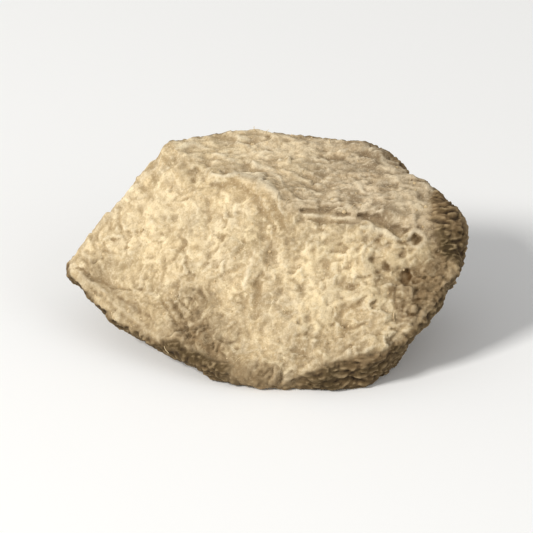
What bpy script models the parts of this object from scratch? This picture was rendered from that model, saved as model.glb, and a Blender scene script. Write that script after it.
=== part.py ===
"""One dried, cut piece of wild yam root, resting on its flattest cut.

The piece is one solid, as it grew. Its form is a set of cuts and breaks: each is a plane that
faces its own way, at its own distance from the middle of the piece. The planes meet in soft,
slightly wavering edges, because the root warps and crumbles as it dries. On that form lie the
reliefs that show from a step away: lumps, a ledge with furrows, hollows, pits and root scars,
and wrinkles on the sides that kept their rind.

Metres, +Z up. +X runs along the piece, the pale cut front faces -Y and upwards, and the origin is
the middle of the footprint's box, so that the piece stands on z = 0.
"""

import math

import bmesh
import bpy
from mathutils import Vector, noise

MM = 0.001

# Driving dimensions: the finished piece fits a box of exactly this size
LENGTH = 34.0 * MM
DEPTH = 21.0 * MM
HEIGHT = 15.0 * MM

# The form is drawn in millimetres about the middle of the piece
BASE_DROP = 7.0  # from the middle down to the flat cut it rests on
SEED_HALF_SIZE = Vector((17.0, 10.5, 7.5))
FARTHEST = 26.0  # beyond every face
SEARCH_STEPS = 17

# The rough form's grid, the even grid that replaces it (in mm), and the share of triangles kept
GRID_CUTS = 43
EVEN_GRID = 0.34
KEPT_SHARE = 0.22
BASE_SNAP = 0.08  # points this close to the flat base are laid on it, in mm

# How softly faces run into each other, in mm
EDGE_SOFTNESS = 0.22
FRONT_SOFTNESS = 1.5

# Cuts and breaks: name: (turn from -Y towards +X and upward tilt in degrees, distance in mm)
FRONT_CUTS = {
    "pale_front": (4, 42, 3.75),
    "left_front": (-31, 43.5, 3.35),
}
FLESH_CUTS = {
    "weathered_top": (16, 77, 5.85),
    "left_strip": (-35, 26, 6.6),
    "left_back": (-116, 30, 13.9),
}
RIND_SIDES = {
    "back_left": (-165, 14, 13.0),
    "back_right": (173, 12, 12.4),
    "right_back": (126, 14, 15.3),
    "right_bevel": (88, 34, 16.3),
    "right_end": (78, 2, 16.8),
    "right_low": (48, -20, 13.5),
    "right_foot": (80, -28, 13.8),
    "under_right_back": (120, -32, 14.2),
    "under_right": (8, -15, 10.4),
    "under_front": (-8, -20, 9.8),
    "under_left_front": (-45, -55, 9.2),
    "under_left": (-75, -45, 11.8),
    "under_back_left": (-120, -40, 13.2),
    "under_back": (175, -25, 11.8),
}

# Warping of the whole form: (size of a bend, how far it moves the surface), in mm
WARP_SEED = 3
WARPS = ((8.0, 0.50), (2.6, 0.16))

# Lumps and grain: (size along the root, size across it, height), in mm
LUMPS = (5.5, 4.5, 0.34)
SMALL_LUMPS = (2.4, 1.9, 0.18)
GRAIN = (9.0, 1.5, 0.14)
WRINKLES = (8.0, 1.8, 0.45)
WRINKLE_SWAY = (4.0, 0.8)  # (size of a bend, how far it moves the wrinkles), in mm

# Reliefs of the front and the top are placed as someone sees them who looks down at the front
# from VIEW_TILT degrees: (to the right of the middle, up from the lowest visible edge), in mm
VIEW_TILT = 30
LOWEST_EDGE = -4.95  # where that lowest edge is along the viewer's upward direction
FURROWS = {  # (the points it runs through, half width, depth)
    "long_furrow_of_ledge": (((3.3, 15.1), (7.3, 14.9)), 0.50, 0.60),
    "right_furrow_of_ledge": (((8.2, 14.8), (11.5, 13.7)), 0.50, 0.55),
    "low_furrow_of_ledge": (((4.1, 14.2), (7.2, 14.0)), 0.40, 0.40),
    "groove_under_lip": (((-5.2, 17.6), (-3.1, 17.4), (-1.0, 16.4), (0.9, 14.7)), 0.60, 0.40),
    "valley_of_front": (((0.9, 14.3), (0.1, 10.9), (-1.0, 6.7)), 1.40, 0.40),
    "groove_above_strip": (((-16.5, 10.4), (-13.1, 8.8), (-9.0, 7.5)), 0.42, 0.34),
}
RIDGES = {
    "curved_lip": (((-5.2, 18.3), (-2.6, 18.1), (-0.2, 17.0), (1.5, 15.3)), 0.80, 0.28),
    "crest_below_ledge": (((8.0, 13.6), (11.0, 12.6)), 0.60, 0.26),
}
SWAY = (1.7, 0.6)  # (size of a bend, how far it moves these lines), in mm
FADING = (2.3, 0.9)  # (length of a deep or shallow stretch in mm, how much the depth changes)
HOLLOWS = {  # (centre, half width, depth)
    "low_right_hollow": ((6.4, 6.2), 2.0, 0.40),
    "top_hollow": ((4.3, 17.6), 2.2, 0.45),
    "left_hollow": ((-11.0, 12.2), 2.8, 0.30),
    "low_front_hollow": ((-3.1, 3.5), 1.4, 0.30),
}
PITS = {
    "brown_pit": ((12.0, 9.6), 0.80, 0.75),
    "ring_pit": ((12.7, 12.7), 0.55, 0.50),
    "ledge_pit": ((9.4, 13.5), 0.45, 0.35),
    "right_pit": ((10.2, 10.4), 0.50, 0.42),
    "rim_pit": ((10.7, 7.5), 0.55, 0.36),
    "corner_pit": ((-6.1, 18.5), 0.60, 0.45),
    "small_corner_pit": ((-5.0, 19.3), 0.45, 0.32),
}

# Scars of thin roots on the rind: (place in the finished frame, half width of the ring, height)
ROOT_SCARS = {
    "right_back_scar": (Vector((6.0, 10.0, 7.5)), 1.30, 0.50),
    "left_back_scar": (Vector((-4.5, 9.8, 5.0)), 1.05, 0.42),
    "end_scar": (Vector((15.6, 2.5, 6.5)), 1.00, 0.38),
}
SCAR_PIT = (0.45, 1.7)  # the pit in the ring: its half width and its depth, as shares of the ring

FLESH_COLOUR = (0.70, 0.55, 0.34, 1.0)


def facing(turn, tilt):
    """The unit normal of a face turned from the front (-Y) towards +X, and tilted upwards."""
    turn, tilt = math.radians(turn), math.radians(tilt)
    level = math.cos(tilt)
    return Vector((math.sin(turn) * level, -math.cos(turn) * level, math.sin(tilt)))


def planes_of(cuts):
    return [(facing(turn, tilt), away) for turn, tilt, away in cuts.values()]


FRONT_PLANES = planes_of(FRONT_CUTS)
FLESH_PLANES = planes_of(FLESH_CUTS)
RIND_PLANES = planes_of(RIND_SIDES)
TO_VIEWER = facing(0, VIEW_TILT)
VIEWER_UP = facing(180, 90 - VIEW_TILT)


def soft_max(values, softness):
    """The largest value, rounded off where two are nearly equal."""
    top = max(values)
    return top + softness * math.log(sum(math.exp((v - top) / softness) for v in values))


def warped(point):
    for size, shift in WARPS:
        point = point + shift * noise.noise_vector(point / size)
    return point


def face_distances(point):
    """How far a point lies outside the cut flesh, and outside the rind sides, in mm."""
    bent = warped(point)
    front = [normal.dot(bent) - away for normal, away in FRONT_PLANES]
    flesh = [normal.dot(bent) - away for normal, away in FLESH_PLANES]
    rind = [normal.dot(bent) - away for normal, away in RIND_PLANES]
    pale = soft_max([soft_max(front, FRONT_SOFTNESS), *flesh], EDGE_SOFTNESS)
    return pale, soft_max(rind, EDGE_SOFTNESS)


def reach(direction):
    """Distance from the middle to the surface along a direction, found by halving."""
    near, far = 0.0, FARTHEST
    for _ in range(SEARCH_STEPS):
        half = (near + far) / 2
        if soft_max(face_distances(direction * half), EDGE_SOFTNESS) > 0:
            far = half
        else:
            near = half
    return near


def hewn_point(corner):
    """Where a grid corner of the starting cube lands on the form."""
    on_sphere = Vector([math.tan(c * math.pi / 4) for c in corner]).normalized()
    direction = Vector([c * half for c, half in zip(on_sphere, SEED_HALF_SIZE)]).normalized()
    point = direction * reach(direction)
    if point.z > -BASE_DROP:
        return point
    return direction * (BASE_DROP / -direction.z)


def new_mesh(name, bm):
    mesh = bpy.data.meshes.new(name)
    bm.to_mesh(mesh)
    bm.free()
    return mesh


def rough_form():
    """The starting cube with every grid corner pushed out to the cuts."""
    bm = bmesh.new()
    bmesh.ops.create_cube(bm, size=2.0)
    bmesh.ops.subdivide_edges(bm, edges=bm.edges[:], cuts=GRID_CUTS, use_grid_fill=True)
    for vertex in bm.verts:
        vertex.co = hewn_point(vertex.co)
    bmesh.ops.recalc_face_normals(bm, faces=bm.faces[:])
    return new_mesh("rough_form", bm)


def modified(mesh, kind, **settings):
    """The points and faces of a mesh as one modifier leaves them."""
    holder = bpy.data.objects.new(mesh.name, mesh)
    bpy.context.scene.collection.objects.link(holder)
    modifier = holder.modifiers.new(kind.lower(), kind)
    for name, value in settings.items():
        setattr(modifier, name, value)
    graph = bpy.context.evaluated_depsgraph_get()
    bm = bmesh.new()
    bm.from_object(holder, graph)
    bpy.data.objects.remove(holder)
    return bm


def share_of_rind(point):
    """1 where a point of the form lies on a rind side, 0 on cut flesh and on the flat base."""
    if point.z <= -BASE_DROP:
        return 0.0
    pale, rind = face_distances(point)
    return 1 / (1 + math.exp((pale - rind) / EDGE_SOFTNESS))


def lay_on_base(bm, level, reach_up):
    """Moves the points that lie within a short reach of the base's level onto it."""
    for vertex in bm.verts:
        if vertex.co.z < level + reach_up:
            vertex.co.z = level


def fit_to_box(bm):
    """Scales the points to the driving dimensions and stands them on z = 0."""
    low = Vector([min(v.co[axis] for v in bm.verts) for axis in range(3)])
    high = Vector([max(v.co[axis] for v in bm.verts) for axis in range(3)])
    foot = Vector(((low.x + high.x) / 2, (low.y + high.y) / 2, low.z))
    scale = [size / (h - l) for size, h, l in zip((LENGTH, DEPTH, HEIGHT), high, low)]
    for vertex in bm.verts:
        vertex.co = Vector([(c - f) * s for c, f, s in zip(vertex.co, foot, scale)])


def bell(distance, half_width):
    return math.exp(-((distance / half_width) ** 2))


def distance_to_path(place, path):
    """Distance in the viewer's picture from a place to a run of straight stretches."""
    nearest = math.inf
    for start, end in zip(path, path[1:]):
        start, end = Vector(start), Vector(end)
        along = (place - start).dot(end - start) / (end - start).length_squared
        on_path = start.lerp(end, min(max(along, 0.0), 1.0))
        nearest = min(nearest, (place - on_path).length)
    return nearest


def seen_relief(place):
    """Height of the furrows, ridges, hollows and pits at a place in the viewer's picture."""
    size, shift = SWAY
    swayed = place + shift * noise.noise_vector(place.to_3d() / size).xy
    lines = 0.0
    for path, half_width, depth in FURROWS.values():
        lines -= depth * bell(distance_to_path(swayed, path), half_width)
    for path, half_width, rise in RIDGES.values():
        lines += rise * bell(distance_to_path(swayed, path), half_width)
    spots = 0.0
    for centre, half_width, depth in (*HOLLOWS.values(), *PITS.values()):
        spots -= depth * bell((place - Vector(centre)).length, half_width)
    length, change = FADING
    return spots + lines * (1 + change * noise.noise(place.to_3d() / length))


def streaks(point, size):
    """Noise drawn out along the root, from -1 to 1."""
    along, across, _ = size
    return noise.noise(Vector((point.x / along, point.y / across, point.z / across)))


def wrinkles(point):
    """Sharp-crested folds of shrunken rind."""
    size, shift = WRINKLE_SWAY
    swayed = point + shift * noise.noise_vector(point / size)
    return WRINKLES[2] * (1 - 2 * abs(streaks(swayed, WRINKLES)))


def root_scars(point):
    """A ring about a pit for each scar."""
    pit_width, pit_depth = SCAR_PIT
    height = 0.0
    for centre, half_width, rise in ROOT_SCARS.values():
        away = (point - centre).length
        height += rise * bell(away, half_width)
        height -= rise * pit_depth * bell(away, half_width * pit_width)
    return height


def relief(point, normal, rind_share):
    """Height of the surface above the hewn form at a point of the finished frame, in mm."""
    height = LUMPS[2] * streaks(point, LUMPS) + SMALL_LUMPS[2] * streaks(point, SMALL_LUMPS)
    height += (1 - rind_share) * GRAIN[2] * streaks(point, GRAIN)
    height += rind_share * wrinkles(point) + root_scars(point)
    place = Vector((point.x, VIEWER_UP.dot(point) - LOWEST_EDGE))
    return height + max(normal.dot(TO_VIEWER), 0.0) * seen_relief(place)


def raise_relief(bm, rind_shares):
    """Moves each point along its normal, except those of the flat cut underneath."""
    bm.normal_update()
    moves = []
    for vertex, rind_share in zip(bm.verts, rind_shares):
        above_base = vertex.co.z > 0.0
        height = relief(vertex.co / MM, vertex.normal, rind_share) if above_base else 0.0
        moves.append(vertex.normal * height * MM)
    for vertex, move in zip(bm.verts, moves):
        vertex.co = vertex.co + move
        vertex.co.z = max(vertex.co.z, 0.0)


def flesh_material():
    material = bpy.data.materials.new("dried_flesh")
    material.use_nodes = True
    shader = material.node_tree.nodes["Principled BSDF"]
    shader.inputs["Base Color"].default_value = FLESH_COLOUR
    shader.inputs["Roughness"].default_value = 0.9
    shader.inputs["Metallic"].default_value = 0.0
    return material


def root_piece():
    """The whole piece: hewn, meshed evenly, given its relief, and thinned out where it is flat."""
    bm = modified(rough_form(), "REMESH", mode="VOXEL", voxel_size=EVEN_GRID)
    lay_on_base(bm, -BASE_DROP, BASE_SNAP)
    rind_shares = [share_of_rind(vertex.co) for vertex in bm.verts]
    fit_to_box(bm)
    raise_relief(bm, rind_shares)
    bm = modified(new_mesh("fine_form", bm), "DECIMATE", ratio=KEPT_SHARE)
    lay_on_base(bm, 0.0, BASE_SNAP * MM)
    fit_to_box(bm)
    mesh = new_mesh("root_piece", bm)
    mesh.shade_smooth()
    mesh.materials.append(flesh_material())
    return bpy.data.objects.new("root_piece", mesh)


for leftover in list(bpy.data.objects):
    bpy.data.objects.remove(leftover)

noise.seed_set(WARP_SEED)
collection = bpy.data.collections.new("wild_yam_root")
bpy.context.scene.collection.children.link(collection)
collection.objects.link(root_piece())
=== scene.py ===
# %% [markdown]
# # A dried, cut piece of wild yam root
#
# The real thing is a woody underground stem, chopped and dried for tea. Its broken faces are pale,
# mealy and full of short fibres, its upper face is older and greyer, and the sides that were its
# skin are brown and wrinkled. The lesson starts from a plain solid of the piece, gives it the fine
# surface that a solid leaves out, and then paints, crumbles and lights it.

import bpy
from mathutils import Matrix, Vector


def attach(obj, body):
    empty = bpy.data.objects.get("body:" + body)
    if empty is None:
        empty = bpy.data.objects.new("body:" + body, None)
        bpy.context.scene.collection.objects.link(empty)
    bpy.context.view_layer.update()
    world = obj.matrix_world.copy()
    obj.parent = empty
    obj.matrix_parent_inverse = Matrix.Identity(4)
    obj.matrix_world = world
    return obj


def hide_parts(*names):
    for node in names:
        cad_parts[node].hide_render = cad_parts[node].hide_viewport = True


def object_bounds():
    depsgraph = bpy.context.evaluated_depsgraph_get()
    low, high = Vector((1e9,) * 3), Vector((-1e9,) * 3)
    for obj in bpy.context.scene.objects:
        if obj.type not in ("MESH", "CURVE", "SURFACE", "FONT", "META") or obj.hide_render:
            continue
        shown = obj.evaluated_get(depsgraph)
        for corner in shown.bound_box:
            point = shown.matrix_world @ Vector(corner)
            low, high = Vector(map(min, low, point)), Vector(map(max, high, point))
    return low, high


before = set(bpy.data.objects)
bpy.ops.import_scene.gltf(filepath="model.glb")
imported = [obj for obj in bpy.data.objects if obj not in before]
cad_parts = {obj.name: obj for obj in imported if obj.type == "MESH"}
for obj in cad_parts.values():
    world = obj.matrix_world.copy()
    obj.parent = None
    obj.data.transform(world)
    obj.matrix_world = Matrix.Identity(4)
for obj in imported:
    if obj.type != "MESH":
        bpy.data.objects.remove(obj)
cad_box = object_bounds()
print("the solid's box:", [tuple(round(c, 4) for c in corner) for corner in cad_box])

# %% [markdown]
# ## Noise on whole arrays
#
# A surface of a hundred thousand points needs millions of noise values. Blender's own noise works
# on one point at a time, so these helpers work on all the points at once with numpy. They draw
# their random numbers from the place itself, so every run gives the same root.

# %% Random numbers tied to a place
import math
from itertools import product

import bmesh
import bpy
import numpy as np
from mathutils import Vector, noise
from mathutils.kdtree import KDTree

MM = 0.001


def dice(cells, roll):
    """Three repeatable random numbers from 0 to 1 for each whole-numbered cell of space."""
    mixed = (cells + roll * 97).astype(np.uint32) * np.uint32(1664525) + np.uint32(1013904223)
    x, y, z = mixed[:, 0], mixed[:, 1], mixed[:, 2]
    for _ in range(2):
        x = x + y * z
        y = y + z * x
        z = z + x * y
        x, y, z = (c ^ (c >> np.uint32(16)) for c in (x, y, z))
    return np.stack([x, y, z], axis=1) / 2.0**32


# %% Smooth noise, and noise in octaves
def clouds(points, size, roll):
    """Smooth noise from about -1 to 1. The size is in mm, or in mm along x, y and z."""
    scaled = points / np.asarray(size, float)
    home = np.floor(scaled).astype(np.int64)
    inside = scaled - home
    fade = inside**3 * (inside * (inside * 6 - 15) + 10)
    total = np.zeros(len(points))
    for corner in product((0, 1), repeat=3):
        share = np.prod(np.where(corner, fade, 1 - fade), axis=1)
        slope = dice(home + corner, roll) * 2 - 1
        total += share * ((inside - corner) * slope).sum(axis=1)
    return total * 1.7


def octaves(points, size, roll, steps=4, keep=0.55):
    """Clouds, with finer and weaker clouds on top of them."""
    total, weight = np.zeros(len(points)), 1.0
    for step in range(steps):
        total += weight * clouds(points, np.asarray(size, float) / 2.1**step, roll + 7 * step)
        weight *= keep
    return total


def swirled(points, size, shift, roll):
    """The points pushed about by clouds, so that lines drawn on them curl."""
    push = [clouds(points, size, roll + 3 * axis) for axis in range(3)]
    return points + shift * np.stack(push, axis=1)


# %% Cells, for chips, grains and pores
def grains(points, size, roll):
    """Distances to the nearest and second nearest cell middle, the way from it, and its dice."""
    scaled = points / np.asarray(size, float)
    home = np.floor(scaled).astype(np.int64)
    first = np.full(len(points), 9.0)
    second = first.copy()
    way, luck = np.zeros_like(points), np.zeros_like(points)
    for step in product((-1, 0, 1), repeat=3):
        cell = home + step
        from_middle = scaled - (cell + dice(cell, roll))
        distance = np.linalg.norm(from_middle, axis=1)
        nearer = distance < first
        second = np.where(nearer, first, np.minimum(second, distance))
        first = np.where(nearer, distance, first)
        way[nearer] = from_middle[nearer]
        luck[nearer] = dice(cell[nearer], roll + 1)
    return first, second, way, luck


def chips(points, size, roll):
    """Small flat facets, each tilted its own way, as in a brittle break. From about -1 to 1."""
    _, _, way, luck = grains(points, size, roll)
    return (way * (luck * 2 - 1)).sum(axis=1) * 1.2 + (luck[:, 0] - 0.5) * 0.7


def dots(points, size, roll, chance, half_width, spread=0.0):
    """Round dots in some of the cells, each as wide as its luck says. From 0 to 1."""
    distance, _, _, luck = grains(points, size, roll)
    return np.exp(-((distance / (half_width + spread * luck[:, 1])) ** 2)) * (luck[:, 0] < chance)


# %% [markdown]
# ## The blank
#
# The solid has about nine thousand triangles, too few to carry fibres and grains. A subdivision
# would keep its uneven triangles, and a sculpt can't be repeated by a script. A voxel remesh gives
# one closed skin of even little squares, and a few rounds of averaging melt the old facets away.

# %% A fine, even skin
VOXEL = 0.158
MELT_ROUNDS = 9


def new_object(name, data):
    """An object in the scene, at the origin."""
    made = bpy.data.objects.new(name, data)
    bpy.context.scene.collection.objects.link(made)
    return made


def merged_copy(node):
    """The points and faces of a solid's mesh in mm, with its loose triangles joined up."""
    bm = bmesh.new()
    bm.from_mesh(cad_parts[node].data)
    bmesh.ops.remove_doubles(bm, verts=bm.verts[:], dist=1e-6)
    bmesh.ops.scale(bm, verts=bm.verts[:], vec=(1 / MM, 1 / MM, 1 / MM))
    return bm


def even_skin(bm, name):
    """A voxel remesh of it, as a plain mesh."""
    mesh = bpy.data.meshes.new(name)
    bm.to_mesh(mesh)
    bm.free()
    holder = new_object(name, mesh)
    remesh = holder.modifiers.new("even_skin", "REMESH")
    remesh.mode = "VOXEL"
    remesh.voxel_size = VOXEL
    graph = bpy.context.evaluated_depsgraph_get()
    fine = bpy.data.meshes.new_from_object(holder.evaluated_get(graph))
    bpy.data.objects.remove(holder)
    return fine


skin = even_skin(merged_copy("root_piece"), "dried_root_piece")
points = np.zeros(len(skin.vertices) * 3)
skin.vertices.foreach_get("co", points)
points = points.reshape(-1, 3)
edges = np.zeros(len(skin.edges) * 2, np.int32)
skin.edges.foreach_get("vertices", edges)
edges = edges.reshape(-1, 2)
neighbours = np.bincount(edges.ravel(), minlength=len(points))
print(f"fine skin: {len(points)} points, {len(skin.polygons)} squares")


# %% Averaging over neighbours
def melted(values, rounds, strength=0.5):
    """Values on the skin, each drawn towards the mean of its neighbours, some rounds long."""
    values = values.reshape(len(points), -1)
    for _ in range(rounds):
        total = np.zeros_like(values)
        for column in range(values.shape[1]):
            pair = values[edges[:, ::-1], column].ravel()
            total[:, column] = np.bincount(edges.ravel(), pair, len(points))
        values = values + strength * (total / neighbours[:, None] - values)
    return values.squeeze()


flat_cut = points[:, 2] < 0.03
points = melted(points, MELT_ROUNDS)
points[flat_cut, 2] = 0.0
points[:, 2] = np.maximum(points[:, 2], 0.0)


# %% Which way the skin faces
def facings(at):
    """Unit normals of the skin when its points are there."""
    skin.vertices.foreach_set("co", at.ravel())
    skin.update()
    found = np.zeros(len(at) * 3)
    skin.vertices.foreach_get("normal", found)
    return found.reshape(-1, 3)


normals = facings(points)
broad = melted(points, 40)
edge_rise = ((points - broad) * normals).sum(axis=1)
print(f"the edges stand out by up to {edge_rise.max():.2f} mm")

# %% [markdown]
# ## Two ways to say where something is
#
# The whole piece has its own frame, in mm here. Marks of the front and the top are easier to place
# as someone sees them who looks down at the front from thirty degrees: so many mm to the right of
# the middle, and so many up from the lowest visible edge.

# %% The picture plane
VIEW_TILT = 30
LOWEST_EDGE = -4.95


def facing(turn, tilt):
    """The direction turned from the front towards the right, and tilted up, in degrees."""
    turn, tilt = math.radians(turn), math.radians(tilt)
    level = math.cos(tilt)
    return np.array((math.sin(turn) * level, -math.cos(turn) * level, math.sin(tilt)))


to_viewer = facing(0, VIEW_TILT)
viewer_up = facing(180, 90 - VIEW_TILT)
picture = np.stack([points[:, 0], points @ viewer_up - LOWEST_EDGE], axis=1)
seen = np.clip(normals @ to_viewer * 2.5, 0, 1)
sway = np.stack([clouds(points, 1.4, 21), clouds(points, 1.4, 22)], axis=1)
tremor = np.stack([clouds(points, 0.4, 23), clouds(points, 0.4, 24)], axis=1)
wavering = picture + 0.22 * sway + 0.06 * tremor


def bell(distance, half_width):
    """1 where the distance is nothing, and soon 0 past the half width."""
    return np.exp(-((distance / half_width) ** 2))


def beyond(distance, softness):
    """From 0 to 1 where a distance passes zero."""
    return 1 / (1 + np.exp(-np.clip(distance / softness, -40, 40)))


def nearest_on(path):
    """Distance to a line through these places of the picture, and the share of it run by then."""
    nearest, along = np.full(len(points), 99.0), np.zeros(len(points))
    steps = list(zip(path, path[1:]))
    for number, (start, end) in enumerate(steps):
        start, way = np.array(start), np.subtract(end, start)
        share = np.clip((wavering - start) @ way / (way @ way), 0, 1)
        distance = np.linalg.norm(wavering - start - share[:, None] * way, axis=1)
        along = np.where(distance < nearest, (number + share) / len(steps), along)
        nearest = np.minimum(nearest, distance)
    return nearest, along


# %% [markdown]
# ## Rind, pale flesh and weathered face
#
# Three surfaces meet on the piece. Each side of it is one cut or one stretch of old skin, so the
# rind can be found from the sides' own directions: a point belongs to the side that it lies
# farthest out along. The weathered face has no edge of its own in front, so its border is drawn in
# the picture. Wavering borders make the surfaces look torn rather than painted on.

# %% The sides: turn from the front and tilt upwards in degrees, distance from the middle in mm
PALE_SIDES = (
    (4, 42, 3.75), (-31, 43.5, 3.35), (-35, 26, 6.6), (-116, 30, 13.9), (16, 77, 5.85),
    (-8, -20, 9.8),
)
RIND_SIDES = (
    (-165, 14, 13.0), (173, 12, 12.4), (126, 14, 15.3), (88, 34, 16.3), (78, 2, 16.8),
    (48, -20, 13.5), (80, -28, 13.8), (120, -32, 14.2), (8, -15, 10.4), (-45, -55, 9.2),
    (-75, -45, 11.8), (-120, -40, 13.2), (175, -25, 11.8),
)
MIDDLE = np.array((-0.39, -2.08, 6.85))  # where the sides' distances start, in mm
SQUEEZE = np.array((1.011, 0.977, 0.979))  # how the solid was fitted to its size
BENDS = ((8.0, 0.50), (2.6, 0.16))  # size and shift of the bends in the sides
BENDS_SEED = 3


def bent(at):
    """The points with the slow bends of the drying root taken out."""
    noise.seed_set(BENDS_SEED)
    for size, shift in BENDS:
        at = at + shift * np.array([noise.noise_vector(Vector(p)) for p in at / size])
    return at


def outness(at, sides):
    """How far out the points lie along the farthest of these sides."""
    return np.max([at @ facing(turn, tilt) - away for turn, tilt, away in sides], axis=0)


from_middle = bent((points - MIDDLE) / SQUEEZE)
torn = 0.22 * octaves(points, 1.6, 11) + 0.20 * clouds(points, 4.0, 12)
rind_lead = outness(from_middle, RIND_SIDES) - outness(from_middle, PALE_SIDES)
rind = beyond(rind_lead + torn - 0.10, 0.07)

# %% Borders drawn in the picture
WEATHERED_BORDER = (
    (-18.0, 22.0), (-7.4, 20.6), (-5.2, 18.8), (-2.6, 18.2), (-0.2, 17.1), (1.5, 15.3),
    (3.3, 14.5), (7.3, 14.0), (9.0, 14.1), (11.5, 13.4), (14.0, 12.6), (18.0, 11.5),
)
UNDER_RIND_BORDER = (
    (2.6, 0.6), (4.5, 1.9), (6.5, 2.6), (8.3, 3.0), (10.2, 3.4), (11.6, 4.2), (13.2, 6.0), (18.0, 9.0),
)
# This border runs upwards, so its places are written up first, then across
END_RIND_BORDER = ((9.6, 17.5), (10.6, 15.6), (11.4, 14.8), (13.0, 14.6), (16.4, 14.3), (18.0, 14.2))
RIND_REMNANT = (((-8.6, 3.9), (-6.0, 2.8), (-3.6, 1.9)), 0.60)  # path and half width


def above(border):
    """How far up the points lie from a border that runs from left to right in the picture."""
    return picture[:, 1] - np.interp(picture[:, 0], *zip(*border))


past_end = picture[:, 0] - np.interp(picture[:, 1], *zip(*END_RIND_BORDER))
remnant_path, remnant_width = RIND_REMNANT
remnant = bell(nearest_on(remnant_path)[0], remnant_width) * seen
rind = np.maximum(rind, beyond(past_end + 2.4 * torn, 0.10) * (picture[:, 1] > 9.0))
rind = np.maximum(rind, beyond(remnant - 0.5 + 0.9 * torn, 0.10))
below_edge = beyond(0.8 * torn - above(UNDER_RIND_BORDER), 0.10)
rind = np.maximum(rind, below_edge * (picture[:, 0] > UNDER_RIND_BORDER[0][0]) * seen)
rind[points[:, 2] < 0.02] = 0.0
weathered = beyond(above(WEATHERED_BORDER) + 1.1 * torn, 0.16)
weathered *= (1 - rind) * beyond(normals[:, 2] - 0.25, 0.05)
print(f"rind covers {rind.mean():.0%} and the weathered face {weathered.mean():.0%} of the points")

# %% [markdown]
# ## Marks that can be pointed at
#
# Some marks have a place of their own: a ledge with furrows, pits, a ring-shaped scar, knife
# nicks. Each is a line or a spot in the picture with a width and a height, below zero for a cut.
# A sculpted root would carry them too, but a list of places can be checked and moved one by one.
# Darker places, partly painted shade, paler newly broken places, and the brown of the pits, are
# spots of the same kind that only change the paint and how rough the flesh is.

# %% Lines and spots on the picture
def line(path, half_width):
    """1 on a line through these places of the picture, 0 away from it, with pointed ends."""
    nearest, along = nearest_on(path)
    pointed = np.sin(np.pi * np.clip(along, 0.04, 0.96)) ** 0.5
    return bell(nearest, half_width * pointed) * seen


def spot(centre, half_width):
    """1 at this place of the picture, and 0 away from it."""
    return bell(np.linalg.norm(wavering - centre, axis=1), half_width) * seen


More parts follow.
